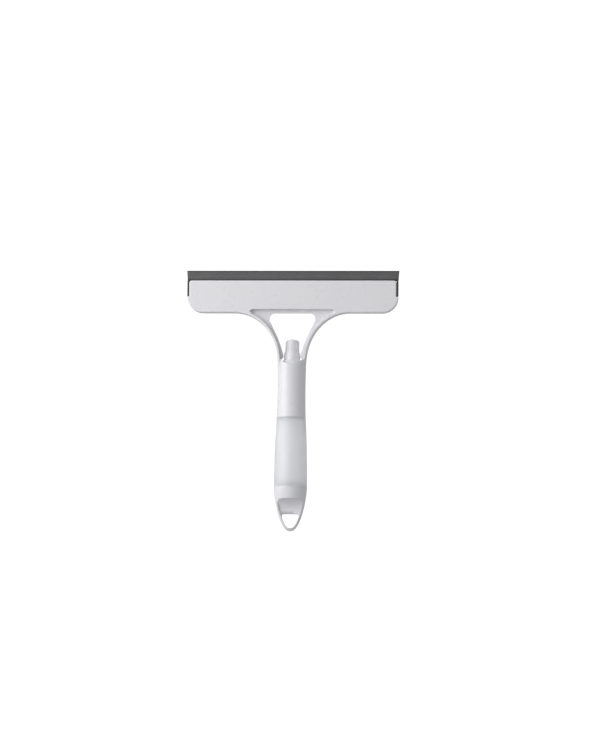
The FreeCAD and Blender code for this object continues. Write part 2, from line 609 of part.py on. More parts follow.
def base_cap():
    """The end cap with a thumb scoop in front and behind and the hanging hole below them."""
    heights = [0.12, 1.2, 4.0, 9.0, 16.0, 24.0, 33.0, 42.0, BASE_TOP]
    egg = Part.makeLoft([base_section(z) for z in heights], True, False)
    cup = disc(17.0, 41.8, BASE_TOP + 1)
    scoop_r, tab_half, hole_top = 13.25, 4.5, 19.0
    tab_end = hole_top + tab_half
    inside = slab(loop_outline(2.8, 3.6, 40.0, 6), -25, 25)
    scoop = joined(Part.makeCylinder(scoop_r, 60, Vec(-30, -tab_half - scoop_r, tab_end), X_AXIS),
                   box(-30, 30, -tab_half - 2 * scoop_r, -tab_half, -5, tab_end)).common(inside)
    hole = slab(loop_outline(3.2, 4.0, 30.0, 6), -25, 25).common(box(-30, 30, -30, 30, 0, tab_end))
    hole = hole.cut(Part.makeCylinder(tab_half, 60, Vec(-30, 0, tab_end), X_AXIS))
    core = disc(12.5, 36.0, 42.5)
    cap = egg.cut(cup).cut(scoop).cut(scoop.mirror(Vec(0, 0, 0), Y_AXIS)).cut(hole)
    return cap.cut(core.common(box(-20, 20, -9.5, 9.5, 30, 50)))


os.makedirs("parts", exist_ok=True)
save("yoke_frame", yoke_frame())
save("head_back_plate", head_back_plate())
save("wiper_blade", wiper_blade())
save("back_plate_screws", screws_from_behind(HEAD_SCREWS, REAR_Y - 1.15, 2.9, 6.0))
save("rear_cover", rear_cover())
save("rear_cover_screws", screws_from_behind(COVER_SCREWS, 8.65, 2.5, 12.0))
save("trigger", trigger())
save("trigger_pin", trigger_pin())
save("pump_body", pump_body())
save("pump_piston", pump_piston())
save("piston_seal", piston_seal())
save("return_spring", return_spring())
save("inlet_seat", inlet_seat())
save("inlet_ball", inlet_ball())
save("outlet_valve", outlet_valve())
save("nozzle_neck", nozzle_neck())
save("spinner", spinner())
save("nozzle_cap", nozzle_cap())
save("nozzle_oring", nozzle_oring())
save("bottle_collar", bottle_collar())
save("neck_gasket", neck_gasket())
save("dip_tube", dip_tube())
save("intake_filter", intake_filter())
save("bottle", bottle())
save("base_cap", base_cap())
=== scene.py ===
import math

import bmesh
import bpy
import numpy as np
from mathutils import Matrix, Vector


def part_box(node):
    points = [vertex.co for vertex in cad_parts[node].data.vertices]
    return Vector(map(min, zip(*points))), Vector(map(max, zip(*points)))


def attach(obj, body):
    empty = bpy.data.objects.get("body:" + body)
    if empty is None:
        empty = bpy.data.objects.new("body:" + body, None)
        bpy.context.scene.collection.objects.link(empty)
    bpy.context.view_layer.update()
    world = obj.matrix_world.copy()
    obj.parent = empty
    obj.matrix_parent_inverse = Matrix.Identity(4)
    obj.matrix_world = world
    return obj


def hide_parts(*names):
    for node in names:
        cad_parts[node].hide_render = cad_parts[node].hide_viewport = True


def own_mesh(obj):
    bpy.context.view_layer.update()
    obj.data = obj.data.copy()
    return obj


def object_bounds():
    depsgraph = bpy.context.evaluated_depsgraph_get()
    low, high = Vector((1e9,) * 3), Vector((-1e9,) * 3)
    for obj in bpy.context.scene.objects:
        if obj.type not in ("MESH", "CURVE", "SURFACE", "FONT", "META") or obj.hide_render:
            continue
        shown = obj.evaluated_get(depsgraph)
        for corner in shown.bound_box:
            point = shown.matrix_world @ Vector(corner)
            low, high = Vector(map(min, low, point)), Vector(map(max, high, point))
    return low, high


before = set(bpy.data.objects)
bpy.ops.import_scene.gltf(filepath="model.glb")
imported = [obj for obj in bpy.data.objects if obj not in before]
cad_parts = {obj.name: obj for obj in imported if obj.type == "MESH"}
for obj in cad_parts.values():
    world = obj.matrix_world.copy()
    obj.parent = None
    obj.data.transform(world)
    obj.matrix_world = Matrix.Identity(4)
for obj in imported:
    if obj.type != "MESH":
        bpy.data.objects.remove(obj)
cad_low, cad_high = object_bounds()


# The studio: a pale dish of floor that curves up into the background all round, well below the tool, so that
# the tool hangs free in front of it. The camera stands a little to the right of the front and a little low,
# with a long lens. A soft window on the left gives most of the light. Weaker ones stand in front and behind.
LENS, SENSOR, VIEW_HEIGHT = 100.0, 36.0, 0.851
CAMERA_AZIMUTH, CAMERA_ELEVATION, CAMERA_ROLL = 4.0, -6.0, 0.65
AIM_RIGHT, AIM_UP = 0.0088, 0.0295

FLOOR_DROP, DISH_RADIUS, DISH_BEND, WALL_RISE = 0.55, 7.0, 2.6, 2.0
PAPER_TONE, PAPER_GLOW, ROOM_TINT, ROOM_STRENGTH = 0.5, 0.86, (0.98, 0.99, 1.0), 0.46


def grid_mesh(name, grids, closed_rows=()):
    """One mesh from several grids of points. Each grid is an array of rows x columns x 3, and four neighbours
    make a face. A grid named in closed_rows joins its last point of each row to the first. Points that
    coincide, as at a pole, are merged, and faces are turned outwards."""
    points, faces, first = [], [], 0
    for number, grid in enumerate(grids):
        rows, columns = grid.shape[:2]
        index = first + np.arange(rows * columns).reshape(rows, columns)
        if number in closed_rows:
            index = np.concatenate([index, index[:, :1]], axis=1)
        corners = [index[:-1, :-1], index[:-1, 1:], index[1:, 1:], index[1:, :-1]]
        faces.append(np.stack(corners, axis=-1).reshape(-1, 4))
        points.append(grid.reshape(-1, 3))
        first += rows * columns
    mesh = bpy.data.meshes.new(name)
    mesh.from_pydata(np.concatenate(points).tolist(), [], np.concatenate(faces).tolist())
    piece = bpy.data.objects.new(name, mesh)
    bpy.context.scene.collection.objects.link(piece)
    clean(mesh)
    return piece


def clean(mesh, merge=2e-7, sharp_angle=35.0):
    """Merges points that coincide, turns all faces outwards and marks the creases as sharp."""
    work = bmesh.new()
    work.from_mesh(mesh)
    bmesh.ops.remove_doubles(work, verts=work.verts, dist=merge)
    bmesh.ops.recalc_face_normals(work, faces=work.faces)
    work.to_mesh(mesh)
    work.free()
    mesh.shade_smooth()
    mesh.set_sharp_from_angle(angle=math.radians(sharp_angle))


def turned(profile, steps):
    """A profile of (radius, height) points turned round the Z axis: x = r cos a, y = r sin a, z = height."""
    angle = np.linspace(0, 2 * np.pi, steps, endpoint=False)
    radius, height = profile[:, 0], profile[:, 1]
    return np.stack([radius[:, None] * np.cos(angle), radius[:, None] * np.sin(angle),
                     height[:, None] + 0 * angle], axis=-1)


def aimed(thing, target, roll=0.0):
    """Turns a light or camera, which look along their own -Z, towards a place."""
    direction = Vector(target) - thing.location
    thing.rotation_mode = "QUATERNION"
    thing.rotation_quaternion = direction.to_track_quat("-Z", "Y") @ Matrix.Rotation(
        math.radians(roll), 4, "Z").to_quaternion()


def outwards(azimuth, elevation):
    """The direction at an angle round the tool and above it: (sin a cos e, -cos a cos e, sin e)."""
    turn, rise = math.radians(azimuth), math.radians(elevation)
    return Vector((math.sin(turn) * math.cos(rise), -math.cos(turn) * math.cos(rise), math.sin(rise)))


def area_light(name, azimuth, elevation, distance, width, height, power, target):
    """A rectangular soft light at an angle round the tool, aimed at it and not seen by the camera."""
    data = bpy.data.lights.new(name, "AREA")
    data.shape, data.size, data.size_y, data.energy = "RECTANGLE", width, height, power
    light = bpy.data.objects.new(name, data)
    bpy.context.scene.collection.objects.link(light)
    light.location = Vector(target) + distance * outwards(azimuth, elevation)
    aimed(light, target)
    light.visible_camera = False


middle = (cad_low + cad_high) / 2
camera_turn = math.radians(CAMERA_AZIMUTH)
aim = middle + Vector((AIM_RIGHT * math.cos(camera_turn), AIM_RIGHT * math.sin(camera_turn), AIM_UP))
camera = bpy.data.objects.new("camera", bpy.data.cameras.new("camera"))
bpy.context.scene.collection.objects.link(camera)
camera.data.lens, camera.data.sensor_width = LENS, SENSOR
camera.location = aim + VIEW_HEIGHT * LENS / SENSOR * outwards(CAMERA_AZIMUTH, CAMERA_ELEVATION)
aimed(camera, aim, CAMERA_ROLL)
bpy.context.scene.camera = camera

bend = np.linspace(0, math.pi / 2, 24)
floor_line = [(0.0, 0.0), (1.0, 0.0)] + list(zip(DISH_RADIUS - DISH_BEND + DISH_BEND * np.sin(bend),
                                                 DISH_BEND - DISH_BEND * np.cos(bend)))
floor_line = np.array(floor_line + [(DISH_RADIUS, 2 * DISH_BEND + WALL_RISE)])
floor = grid_mesh("floor", [turned(floor_line, 96) + (0.0, 0.0, cad_low.z - FLOOR_DROP)], closed_rows=(0,))
floor.data.flip_normals()
paper = bpy.data.materials.new("studio paper")
paper.use_nodes = True
paper_shader = paper.node_tree.nodes["Principled BSDF"]
paper_shader.inputs["Base Color"].default_value = (PAPER_TONE, PAPER_TONE, PAPER_TONE, 1)
paper_shader.inputs["Roughness"].default_value = 0.9
paper_shader.inputs["Emission Color"].default_value = (1, 1, 1, 1)
paper_shader.inputs["Emission Strength"].default_value = PAPER_GLOW
floor.data.materials.append(paper)
floor.visible_diffuse = floor.visible_glossy = False

area_light("left window", -57, 15, 1.15, 0.95, 1.1, 10.3, middle)
area_light("front window", -18, 34, 3.0, 3.0, 2.6, 8, middle)
area_light("back window", 180, 30, 3.0, 2.4, 2.0, 16, middle)
world = bpy.data.worlds.new("room")
bpy.context.scene.world = world
world.use_nodes = True
room = world.node_tree.nodes["Background"]
room.inputs["Color"].default_value = (*ROOM_TINT, 1)
room.inputs["Strength"].default_value = ROOM_STRENGTH
bpy.context.scene.view_settings.view_transform = "Standard"


# The head, the arms and the front of the handle are one moulding of white polypropylene with a fine satin
# polish. The back plate and the rear cover, of the same plastic, are screwed on, and the trigger is pinned.
WHITE_FIRST, WHITE_SECOND = (0.784, 0.780, 0.802), (0.792, 0.788, 0.809)
PLASTIC_IOR, PLASTIC_GLOW_SHARE = 1.49, 0.15
FLOW_MM, HAZE_MM = 28.0, 5.0


def shader_of(name):
    """A new node material: returns the material, its node tree, its shader and its object coordinates."""
    material = bpy.data.materials.new(name)
    material.use_nodes = True
    tree = material.node_tree
    where = tree.nodes.new("ShaderNodeTexCoord").outputs["Object"]
    return material, tree, tree.nodes["Principled BSDF"], where


def noise_of(tree, where, size_mm, detail=3.0, stretch=(1.0, 1.0, 1.0)):
    """Noise with features of about size_mm, longer along an axis whose stretch is under 1."""
    mapping = tree.nodes.new("ShaderNodeMapping")
    mapping.inputs["Scale"].default_value = stretch
    tree.links.new(where, mapping.inputs["Vector"])
    noise = tree.nodes.new("ShaderNodeTexNoise")
    noise.inputs["Scale"].default_value = 1000.0 / size_mm
    noise.inputs["Detail"].default_value = detail
    tree.links.new(mapping.outputs["Vector"], noise.inputs["Vector"])
    return noise.outputs["Fac"]


def ranged(tree, value, low, high, from_low=0.3, from_high=0.7):
    """The value's usual span carried over to low..high."""
    node = tree.nodes.new("ShaderNodeMapRange")
    for socket, number in zip(("From Min", "From Max", "To Min", "To Max"), (from_low, from_high, low, high)):
        node.inputs[socket].default_value = number
    tree.links.new(value, node.inputs["Value"])
    return node.outputs["Result"]


def toned(tree, shader, value, first, second):
    """Base colour that drifts between two tones as the value goes from 0 to 1."""
    mix = tree.nodes.new("ShaderNodeMix")
    mix.data_type = "RGBA"
    mix.inputs["A"].default_value = (*first, 1)
    mix.inputs["B"].default_value = (*second, 1)
    tree.links.new(value, mix.inputs["Factor"])
    tree.links.new(mix.outputs["Result"], shader.inputs["Base Color"])


def bumped(tree, shader, *layers):
    """Bump from layers of (height value, depth in mm), each laid over the one before."""
    under = None
    for value, depth_mm in layers:
        bump = tree.nodes.new("ShaderNodeBump")
        bump.inputs["Strength"].default_value = 1.0
        bump.inputs["Distance"].default_value = depth_mm * 0.001
        tree.links.new(value, bump.inputs["Height"])
        if under is not None:
            tree.links.new(under, bump.inputs["Normal"])
        under = bump.outputs["Normal"]
    tree.links.new(under, shader.inputs["Normal"])


def moulded(name, first, second, gloss_low, gloss_high, grain_mm, grain_depth, depth_of_light):
    """Moulded plastic: slow flow marks in colour and gloss, a fine grain, and a little light let in."""
    material, tree, shader, where = shader_of(name)
    flow = noise_of(tree, where, FLOW_MM, 2.0, (1.0, 1.0, 0.45))
    haze = noise_of(tree, where, HAZE_MM, 4.0)
    toned(tree, shader, ranged(tree, flow, 0.0, 1.0), first, second)
    tree.links.new(ranged(tree, haze, gloss_low, gloss_high), shader.inputs["Roughness"])
    bumped(tree, shader, (noise_of(tree, where, grain_mm, 2.0), grain_depth))
    shader.inputs["Subsurface Weight"].default_value = PLASTIC_GLOW_SHARE
    shader.inputs["Subsurface Radius"].default_value = (1.0, 0.95, 0.9)
    shader.inputs["Subsurface Scale"].default_value = depth_of_light * 0.001
    shader.inputs["IOR"].default_value = PLASTIC_IOR
    return material


def paint(material, *names):
    """Gives the named frame nodes a material in place of their plain one."""
    for name in names:
        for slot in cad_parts[name].material_slots:
            slot.material = material


white_plastic = moulded("white polypropylene", WHITE_FIRST, WHITE_SECOND, gloss_low=0.27, gloss_high=0.29,
                        grain_mm=0.35, grain_depth=0.0006, depth_of_light=1.2)
paint(white_plastic, "yoke_frame", "head_back_plate", "rear_cover", "trigger")


# The screws of the back plate and the rear cover, the trigger's pin and the inlet ball are bright steel. The
# screws are made of wire with a pressed cross slot, and each goes into a boss of the white moulding.
STEEL_FIRST, STEEL_SECOND = (0.55, 0.55, 0.56), (0.68, 0.68, 0.69)
steel, tree, shader, where = shader_of("bright steel")
toned(tree, shader, noise_of(tree, where, 1.5, 3.0), STEEL_FIRST, STEEL_SECOND)
tree.links.new(ranged(tree, noise_of(tree, where, 0.4, 3.0), 0.2, 0.38), shader.inputs["Roughness"])
bumped(tree, shader, (noise_of(tree, where, 0.3, 2.0), 0.003))
shader.inputs["Metallic"].default_value = 1.0
paint(steel, "back_plate_screws", "rear_cover_screws", "trigger_pin", "inlet_ball")


# The pump in the handle, the threaded collar that takes the bottle and the dip tube with its filter are
# moulded in polypropylene without pigment, which is milky and a little yellow. They are pushed together.
NATURAL_FIRST, NATURAL_SECOND = (0.74, 0.73, 0.69), (0.80, 0.79, 0.75)
natural_plastic = moulded("natural polypropylene", NATURAL_FIRST, NATURAL_SECOND, gloss_low=0.28,
                          gloss_high=0.40, grain_mm=0.5, grain_depth=0.002, depth_of_light=2.5)
paint(natural_plastic, "pump_body", "pump_piston", "inlet_seat", "spinner", "bottle_collar", "dip_tube",
      "intake_filter")


# The seals are black rubber: the plunger's ring, the outlet flap, the nozzle's ring and the bottle's gasket.
# Each is pressed into a groove or held by the part that screws down on it.
SEAL_FIRST, SEAL_SECOND = (0.02, 0.02, 0.02), (0.035, 0.035, 0.035)
seal_rubber = moulded("black seal rubber", SEAL_FIRST, SEAL_SECOND, gloss_low=0.45, gloss_high=0.6,
                      grain_mm=0.4, grain_depth=0.004, depth_of_light=0.1)
paint(seal_rubber, "piston_seal", "outlet_valve", "nozzle_oring", "neck_gasket")


# The return spring is a coil of steel wire between the end of the pump's barrel and the plunger. It closes up
# as the trigger is pulled. Sizes here and below are millimetres, and heights are counted from the foot of the
# hanging loop, which is BOTTLE_FOOT under the bottle.
BOTTLE_FOOT = 42.0
loop_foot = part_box("bottle")[0].z * 1000 - BOTTLE_FOOT
WIRE_RADIUS, COIL_RADIUS, COIL_TURNS, PUMP_HEIGHT, PULL = 0.35, 2.7, 6, 163.0, 4.62
STEPS_PER_TURN, WIRE_SIDES = 48, 12


def placed(points):
    """Millimetres above the loop's foot become metres in the frame: the heights shift, then all is scaled."""
    return (np.asarray(points, dtype=float) + (0.0, 0.0, loop_foot)) * 0.001


# With b the angle round the wire and a the angle round the coil, a point is R + r cos b from the barrel's
# axis, turned by a, and the turns' rise plus r sin b along it. The wire's radius r is zero at both its ends.
spring_low, spring_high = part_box("return_spring")
coil_start, coil_end = spring_low.y * 1000 + WIRE_RADIUS, spring_high.y * 1000 - WIRE_RADIUS
wound = np.linspace(0, 2 * np.pi * COIL_TURNS, STEPS_PER_TURN * COIL_TURNS)[:, None]
round_wire = np.linspace(0, 2 * np.pi, WIRE_SIDES, endpoint=False)
tip = np.ones_like(wound)
tip[[0, -1]] = 0.0
from_axis = COIL_RADIUS + tip * WIRE_RADIUS * np.cos(round_wire)
coil = np.stack([from_axis * np.cos(wound), coil_start + (coil_end - coil_start) * wound / wound[-1]
                 + tip * WIRE_RADIUS * np.sin(round_wire), PUMP_HEIGHT - from_axis * np.sin(wound)], axis=-1)
spring = grid_mesh("plunger_spring", [placed(coil)], closed_rows=(0,))
spring.data.materials.append(steel)
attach(spring, "handle")
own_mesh(spring)
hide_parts("return_spring")


# The wiper blade is one strip of dark grey rubber: a bead and a root held under the clamp ledges, a lip that
# tapers to a thin edge with fine extruded lines along its face, and a leg pressed over each end of the head.
BLADE_FOOT, BLADE_SHOULDER, BLADE_TIP = 283.9, 287.4, 295.7
BLADE_HALF, BLADE_FLARE = 120.0, 1.0
ROOT_HALF_LENGTH, BEAD_HEIGHT, BEAD_RADIUS = 115.2, 273.8, 3.0
LEG_INSIDE, LEG_FOOT, LEG_TOP, LEG_DEPTH = 117.75, 265.5, 284.5, 10.4
TIP_HALF, SHOULDER_HALF, CLAMP_HALF, ROOT_HALF = 0.55, 1.5, 2.3, 2.25
LIP_ROWS, ROOT_ROWS = 140, 60
GROOVES = ((285.5, 0.30), (289.6, 0.07), (291.4, 0.07), (294.35, 0.20))
RUBBER_FIRST, RUBBER_SECOND = (0.100, 0.097, 0.100), (0.116, 0.112, 0.116)
# Painted light on the lip, as factors on the rubber's colour at shares of its height: painted shade at its
# foot and tip, and a faint painted highlight between.
EDGE_PAINTED_SHADE = 0.45
LIP_PAINTED_SHADE_AND_HIGHLIGHT = ((0.07, 0.5), (0.18, 0.95), (0.36, 1.05), (0.60, 0.95), (0.80, 1.0), (0.90, 0.6))


def lip_thickness(z):
    """Half thickness of the lip: thick at the clamp, a soft step down at the shoulder, then a straight taper
    to the tip, less a shallow round groove at each extruded line, and rounded off at both ends."""
    taper = np.interp(z, [BLADE_SHOULDER + 0.6, BLADE_TIP], [SHOULDER_HALF, TIP_HALF])
    step = 1 / (1 + np.exp((z - BLADE_SHOULDER) / 0.12))
    half = taper + (CLAMP_HALF - taper) * step
    for height, depth in GROOVES:
        half = half - depth * np.exp(-((z - height) / 0.22) ** 2)
    reach = np.minimum(z - BLADE_FOOT, BLADE_TIP - z) / 0.35
    return half * np.sqrt(np.clip(1 - (1 - np.clip(reach, 0, 1)) ** 2, 0, 1))


def carried(heights, thickness, half_length, flare=0.0, stations=60, corner=0.35, wave=0.0):
    """A strip along X. Its section is y = -t(z) in front and +t(z) behind. Each end closes over a small round
    corner onto the middle plane, the ends lean out by the flare from foot to tip, and the free edge waves."""
    z = np.concatenate([heights, heights[::-1]])
    y = np.concatenate([-thickness, thickness[::-1]])
    turn = np.linspace(0, np.pi / 2, 6)
    inset = np.concatenate([[0.0], corner - corner * np.sin(turn)[::-1], [corner]])
    shrink = np.concatenate([[np.inf], corner * (1 - np.cos(turn))[::-1], [0.0]])
    inset = np.concatenate([inset, np.linspace(corner, 2 * half_length - corner, stations)[1:-1],
                            2 * half_length - inset[::-1]])
    shrink = np.concatenate([shrink, np.zeros(stations - 2), shrink[::-1]])
    rise = (z - heights[0]) / (heights[-1] - heights[0])
    x = (inset[:, None] - half_length) * (1 + flare / half_length * rise)
    sides = np.sign(y) * np.maximum(np.abs(y) - shrink[:, None], 0.0)
    sides = sides + wave * rise ** 2 * (np.sin(x / 17.0) + 0.6 * np.sin(x / 9.3 + 1.0))
    return np.stack([x, sides, z + 0 * x], axis=-1)


def rounded_block(low, high, squareness=0.22, steps=48):
    """A box with rounded edges, as a superellipsoid: powers of sine and cosine under 1 square the sphere."""
    def squared(value):
        return np.sign(value) * np.where(np.abs(value) < 1e-9, 0.0, np.abs(value)) ** squareness
    around = np.linspace(0, 2 * np.pi, steps, endpoint=False)
    up = np.linspace(-np.pi / 2, np.pi / 2, steps // 2 + 1)[:, None]
    low, high = np.array(low), np.array(high)
    level = squared(np.cos(up))
    unit = np.stack([level * squared(np.cos(around)), level * squared(np.sin(around)),
                     squared(np.sin(up)) + 0 * around], axis=-1)
    return (low + high) / 2 + unit * (high - low) / 2


# Heights up the lip lie closer together near its foot and tip. The root is a plate of even thickness that
# grows out of a round bead: the larger of the two half thicknesses at each height.
lip_rise = np.sin(np.linspace(-np.pi / 2, np.pi / 2, LIP_ROWS)) * 0.5 + 0.5
lip_heights = BLADE_FOOT + (BLADE_TIP - BLADE_FOOT) * (0.35 * lip_rise + 0.65 * np.linspace(0, 1, LIP_ROWS))
root_heights = np.linspace(BEAD_HEIGHT - BEAD_RADIUS, BLADE_FOOT + 0.4, ROOT_ROWS)
bead = np.sqrt(np.clip(BEAD_RADIUS ** 2 - (root_heights - BEAD_HEIGHT) ** 2, 0, None))
root = np.where(root_heights > BEAD_HEIGHT, np.maximum(bead, ROOT_HALF), bead)
root[-1] = 0.0
leg = rounded_block((LEG_INSIDE, -LEG_DEPTH / 2, LEG_FOOT), (BLADE_HALF, LEG_DEPTH / 2, LEG_TOP))
blade = grid_mesh("blade_rubber", [
    placed(carried(lip_heights, lip_thickness(lip_heights), BLADE_HALF, BLADE_FLARE, wave=0.06)),
    placed(carried(root_heights, root, ROOT_HALF_LENGTH)), placed(leg), placed(leg * (-1, 1, 1))],
    closed_rows=(0, 1, 2, 3))
rubber = moulded("grey rubber", RUBBER_FIRST, RUBBER_SECOND, gloss_low=0.42, gloss_high=0.52, grain_mm=0.4,
                 grain_depth=0.004, depth_of_light=0.1)

# The rubber's colour is multiplied by bands of painted light up the lip: painted shade at its foot and at its
# tip, beside the grooves there, and a faint painted highlight between.
tree = rubber.node_tree
place = tree.nodes.new("ShaderNodeSeparateXYZ")
tree.links.new(tree.nodes["Texture Coordinate"].outputs["Object"], place.inputs["Vector"])
painted_light_bands = tree.nodes.new("ShaderNodeValToRGB")
blade_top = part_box("wiper_blade")[1].z
lip_foot = blade_top - (BLADE_TIP - BLADE_FOOT) * 0.001
up_the_lip = ranged(tree, place.outputs["Z"], 0.0, 1.0, lip_foot, blade_top)
tree.links.new(up_the_lip, painted_light_bands.inputs["Fac"])
foot_painted_shade, tip_painted_shade = painted_light_bands.color_ramp.elements
foot_painted_shade.position, tip_painted_shade.position = 0.0, 1.0
foot_painted_shade.color = tip_painted_shade.color = (EDGE_PAINTED_SHADE, EDGE_PAINTED_SHADE, EDGE_PAINTED_SHADE, 1)
for share_of_height, tone in LIP_PAINTED_SHADE_AND_HIGHLIGHT:
    painted_light_bands.color_ramp.elements.new(share_of_height).color = (tone, tone, tone, 1)
painted_light_mix = tree.nodes.new("ShaderNodeMix")
painted_light_mix.data_type, painted_light_mix.blend_type = "RGBA", "MULTIPLY"
painted_light_mix.inputs["Factor"].default_value = 1.0
tree.links.new(tree.nodes["Mix"].outputs["Result"], painted_light_mix.inputs["A"])
tree.links.new(painted_light_bands.outputs["Color"], painted_light_mix.inputs["B"])
tree.links.new(painted_light_mix.outputs["Result"], tree.nodes["Principled BSDF"].inputs["Base Color"])
blade.data.materials.append(rubber)
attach(blade, "handle")
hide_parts("wiper_blade")


# The nozzle: a dome fills the handle's mouth, a round neck leans back from it and a turning cap with a dished
# face and a spray hole stands on the neck. Both are white mouldings.
NOZZLE_FOOT, NOZZLE_LEAN, NOZZLE_SIDES = 190.0, 15.0, 96


def rounded_path(*corners, steps=7):
    """A line through (across, up, radius) corners. A corner with a radius becomes an arc that touches both of
    its runs: it starts and ends radius / tan(half the corner's angle) away from the corner."""
    places = np.array([corner[:2] for corner in corners], dtype=float)
    points = [places[0]]
    for before, here, after, corner in zip(places, places[1:], places[2:], corners[1:-1]):
        if corner[2] == 0:
            points.append(here)
            continue
        back, ahead = [(p - here) / np.linalg.norm(p - here) for p in (before, after)]
        half = np.arccos(np.clip(back @ ahead, -1, 1)) / 2
        centre = here + (back + ahead) / np.linalg.norm(back + ahead) * corner[2] / np.sin(half)
        first, last = [here + way * corner[2] / np.tan(half) - centre for way in (back, ahead)]
        share = np.linspace(0, 1, steps)[:, None]
        between = first * (1 - share) + last * share
        points.extend(centre + between / np.linalg.norm(between, axis=1)[:, None] * corner[2])
    return np.array(points + [places[-1]])


def leaned(points):
    """Leans points back round the nozzle's foot: a turn about X through the height of the foot."""
    cosine, sine = math.cos(math.radians(NOZZLE_LEAN)), math.sin(math.radians(NOZZLE_LEAN))
    x, y, z = points[..., 0], points[..., 1], points[..., 2] - NOZZLE_FOOT
    return np.stack([x, y * cosine + z * sine, z * cosine - y * sine + NOZZLE_FOOT], axis=-1)


dome_line = rounded_path((0, 189.1, 0), (6.05, 189.1, 0), (6.05, 186.0, 0), (13.0, 186.0, 0.2),
                         (13.0, 188.0, 1.5), (11.4, 190.8, 4.0), (9.6, 193.6, 1.2), (0, 193.6, 0))
neck_line = rounded_path((0, 190.5, 0), (8.95, 190.5, 0), (8.95, 202.0, 0.5), (6.6, 202.0, 0.3),
                         (6.6, 205.2, 0), (5.9, 205.2, 0), (5.9, 206.9, 0), (6.6, 206.9, 0),
                         (6.6, 213.6, 0.3), (3.2, 213.6, 0.2), (3.2, 209.6, 0), (1.6, 209.6, 0),
                         (1.6, 191.5, 0), (0, 191.5, 0))
dome = turned(dome_line, NOZZLE_SIDES)
leaning_neck = leaned(turned(neck_line, NOZZLE_SIDES))
neck = grid_mesh("nozzle_base", [placed(dome), placed(leaning_neck)], closed_rows=(0, 1))
neck.data.materials.append(white_plastic)
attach(neck, "handle")
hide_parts("nozzle_neck")

cap_line = rounded_path((0.45, 214.0, 0), (0.45, 215.2, 0.2), (4.2, 216.2, 1.5), (5.2, 216.6, 0.6),
                        (7.75, 216.6, 1.9), (7.95, 202.2, 0.25), (6.65, 202.2, 0.2), (6.65, 214.0, 0),
                        (0.45, 214.0, 0))
turning_cap = grid_mesh("spray_cap", [placed(leaned(turned(cap_line, NOZZLE_SIDES)))], closed_rows=(0,))
turning_cap.data.materials.append(white_plastic)
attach(turning_cap, "nozzle_cap")
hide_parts("nozzle_cap")


# The bottle is blown in frosted polypropylene, 1.5 mm thick: a waisted grip, a flat shoulder, a threaded neck
# that screws into the handle, and a stepped foot that the end cap is pressed over.
BOTTLE_WALL, SHOULDER_RADIUS, GRIP_RADIUS, MIDDLE_RADIUS, MIDDLE_HEIGHT = 1.5, 16.5, 18.8, 18.2, 85.5
GRIP_LOW, GRIP_TOP, NECK_TOP, NECK_RADIUS, NECK_BORE = 50.33, 127.85, 142.0, 10.9, 8.8
THREAD_START, THREAD_PITCH, THREAD_TURNS, THREAD_HEIGHT = 133.2, 4.0, 1.5, 1.0
STEP_RADIUS = 16.9
FROST_FIRST, FROST_SECOND = (0.925, 0.935, 0.955), (0.945, 0.950, 0.965)
FROST_CLEARNESS, FROST_GLOW_SHARE, FROST_GLOW_DEPTH = 0.6, 0.15, 0.003
BOTTLE_STEPS = 160
grip_heights = [GRIP_LOW, MIDDLE_HEIGHT, GRIP_TOP]
grip_curve = np.polyfit(grip_heights, [GRIP_RADIUS, MIDDLE_RADIUS, SHOULDER_RADIUS], 2)


def grip_wall(heights, inwards=0.0):
    """Radius and height down the grip: a parabola through its radii at the foot, the middle and the top."""
    return [(np.polyval(grip_curve, z) - inwards, z, 0) for z in heights]


outside = rounded_path((0, BOTTLE_FOOT, 0), (STEP_RADIUS, BOTTLE_FOOT, 1.2), (STEP_RADIUS, GRIP_LOW, 0),
                       (GRIP_RADIUS, GRIP_LOW, 0.12),
                       *grip_wall(np.linspace(GRIP_LOW + 1.5, GRIP_TOP - 2, 60)),
                       (SHOULDER_RADIUS, GRIP_TOP, 0.3), (NECK_RADIUS, GRIP_TOP, 0.5),
                       *[(NECK_RADIUS, z, 0) for z in np.arange(130.0, 141.0, 0.12)],
                       (NECK_RADIUS, NECK_TOP, 0.3), (NECK_BORE, NECK_TOP, 0.3),
                       (NECK_BORE, GRIP_TOP - BOTTLE_WALL, 0.5),
                       (SHOULDER_RADIUS - BOTTLE_WALL, GRIP_TOP - BOTTLE_WALL, 1.0),
                       *grip_wall(np.linspace(GRIP_TOP - 5, 56.0, 40), BOTTLE_WALL),
                       (STEP_RADIUS - BOTTLE_WALL, 53.3, 0),
                       (STEP_RADIUS - BOTTLE_WALL, BOTTLE_FOOT + BOTTLE_WALL, 1.0),
                       (0, BOTTLE_FOOT + BOTTLE_WALL, 0))

# The thread: where the neck's height is within the flanks of a helix, the radius grows by a thread's height.
shell = turned(outside, BOTTLE_STEPS)
turn_number = np.arange(BOTTLE_STEPS) / BOTTLE_STEPS
for start in (0, 1):
    wound = turn_number + start
    lead = np.clip(np.minimum(wound, THREAD_TURNS - wound) / 0.05, 0, 1)
    flank = np.clip((0.7 - np.abs(shell[..., 2] - THREAD_START - THREAD_PITCH * wound)) / 0.3, 0, 1)
    radius = np.hypot(shell[..., 0], shell[..., 1])
    ridge = np.where(radius > NECK_RADIUS - 0.1, THREAD_HEIGHT * lead * flank, 0.0)
    shell[..., :2] *= (1 + ridge / np.maximum(radius, 1e-6))[..., None]
bottle = grid_mesh("frosted_bottle", [placed(shell)], closed_rows=(0,))

